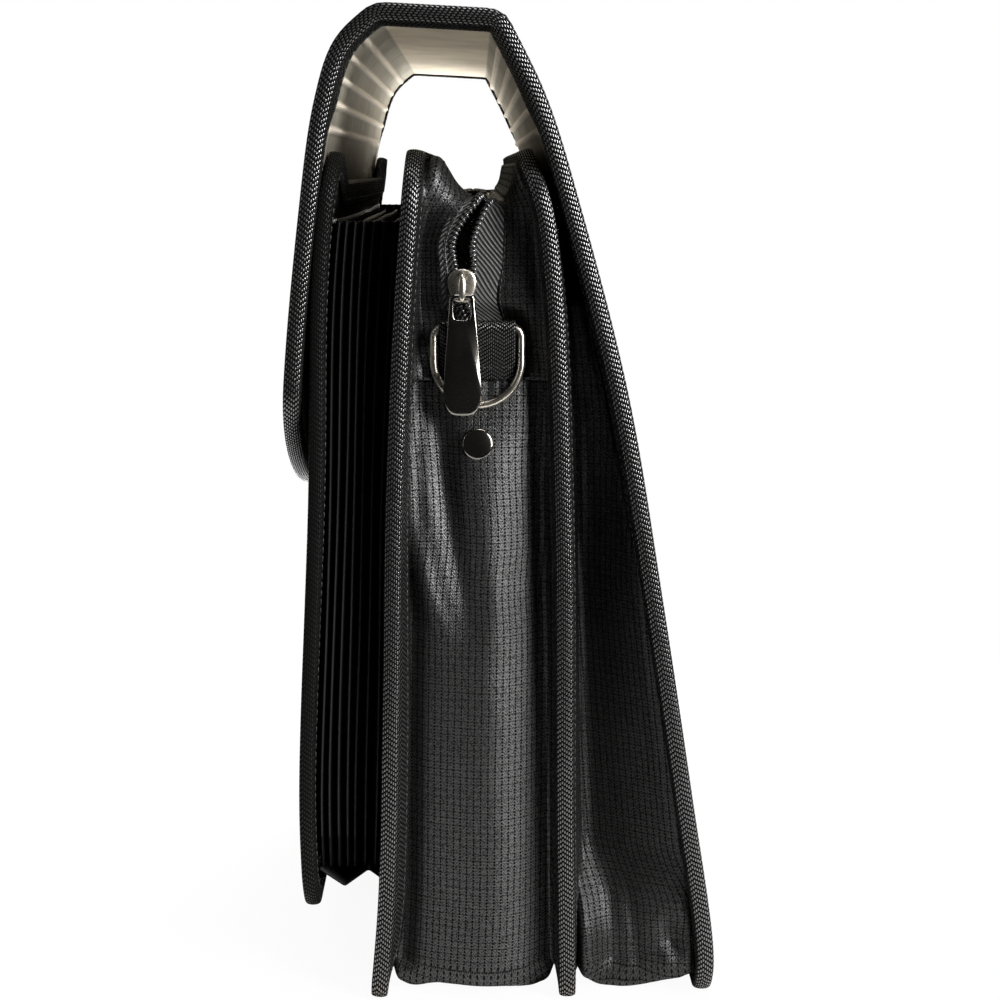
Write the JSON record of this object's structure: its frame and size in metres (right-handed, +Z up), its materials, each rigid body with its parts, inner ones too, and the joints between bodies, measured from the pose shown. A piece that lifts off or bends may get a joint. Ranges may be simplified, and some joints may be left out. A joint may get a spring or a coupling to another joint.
{
  "type": "briefcase",
  "caption": "Soft woven briefcase with a curved front flap, ribbed lining, pleated document file, zipped main compartment, rear pocket and ring strap anchors on its ends.",
  "frame": {"origin": "middle of the bounding box on the surface the bag stands on", "axes": "+X along the length towards the end with the zip slider, +Y towards the back, +Z up"},
  "size_m": [0.4, 0.1679, 0.3855],
  "materials": {
    "nylon": "black woven nylon",
    "twill": "black twill tape and webbing with a slight sheen",
    "satin": "warm grey satin lining",
    "file_plastic": "black satin sheet plastic",
    "zip_coil": "black nylon coil on woven tape",
    "nickel": "dark polished nickel"
  },
  "bodies": {
    "bag": {"cover_panel": "nylon", "front_panel": "nylon", "main_front_panel": "nylon", "main_rear_panel": "nylon", "main_gusset": "nylon", "rear_gusset": "nylon", "zip_strip_front": "nylon", "zip_strip_rear": "nylon", "cover_binding": "twill", "front_binding": "twill", "main_front_binding": "twill", "main_rear_binding": "twill", "near_webbing": "twill", "far_webbing": "twill", "cover_lining": "satin", "file_front_sheet": "file_plastic", "file_back_sheet": "file_plastic", "file_bellows_near": "file_plastic", "file_bellows_far": "file_plastic", "file_base": "file_plastic", "file_divider_1": "file_plastic", "file_divider_2": "file_plastic", "file_divider_3": "file_plastic", "file_divider_4": "file_plastic", "file_divider_5": "file_plastic", "file_divider_6": "file_plastic", "zip_tape_front": "zip_coil", "zip_tape_rear": "zip_coil", "zip_slider": "nickel", "near_rivet": "nickel", "far_rivet": "nickel"},
    "near_ring": {"near_ring": "nickel"},
    "far_ring": {"far_ring": "nickel"},
    "zip_pull": {"zip_pull": "nickel"}
  },
  "joints": [
    {"name": "near_ring_swing", "type": "hinge", "parent": "bag", "child": "near_ring", "pos_m": [0.18895, -0.009, 0.2665], "axis": [0, -1, 0], "range_deg": [0, 135]},
    {"name": "far_ring_swing", "type": "hinge", "parent": "bag", "child": "far_ring", "pos_m": [-0.18895, -0.009, 0.2665], "axis": [0, 1, 0], "range_deg": [0, 135]},
    {"name": "zip_pull_swing", "type": "hinge", "parent": "bag", "child": "zip_pull", "pos_m": [0.1939, -0.0148, 0.2784], "axis": [0, -1, 0], "range_deg": [0, 142]}
  ],
  "couplings": [
    {"joint": "zip_pull_swing", "follows": "near_ring_swing", "ratio": 1.05}
  ]
}
